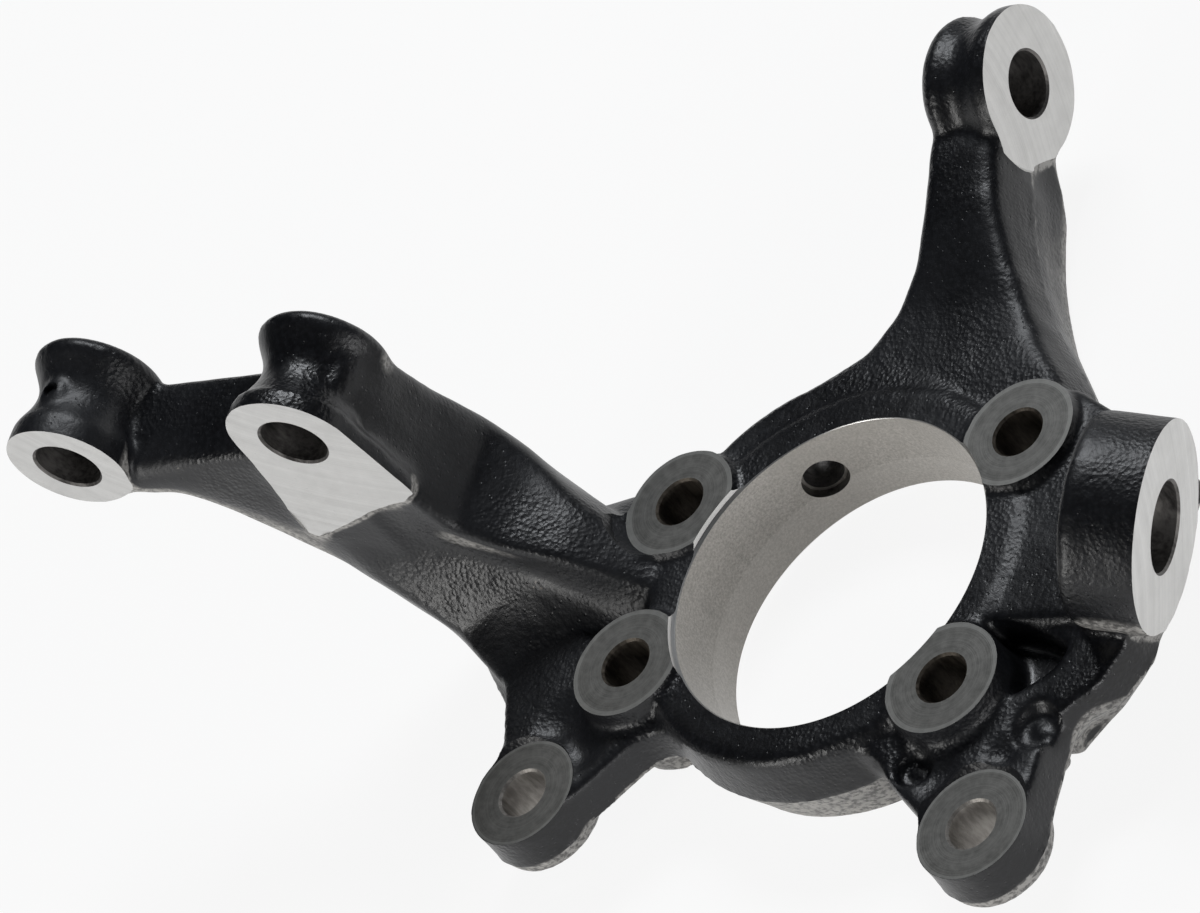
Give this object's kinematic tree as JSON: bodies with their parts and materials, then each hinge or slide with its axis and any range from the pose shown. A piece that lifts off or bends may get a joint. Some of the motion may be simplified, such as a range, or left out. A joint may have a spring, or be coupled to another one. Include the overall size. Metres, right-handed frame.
{
  "type": "steering knuckle",
  "caption": "Cast steering knuckle with a hub bearing bore, bearing bolt bosses, caliper ears, a strut arm with lugs, a tie-rod arm and a ball-joint boss.",
  "frame": {"origin": "on the hub bore axis at the outboard bearing seat", "axes": "+Z inboard along the hub bore axis, +Y up towards the strut lugs, +X towards the tie-rod arm"},
  "size_m": [0.2496, 0.3232, 0.1222],
  "materials": {
    "casting": "black electrocoat over cast grain, machined faces bare and bright"
  },
  "bodies": {
    "root": {"knuckle_casting": "casting"}
  },
  "joints": []
}
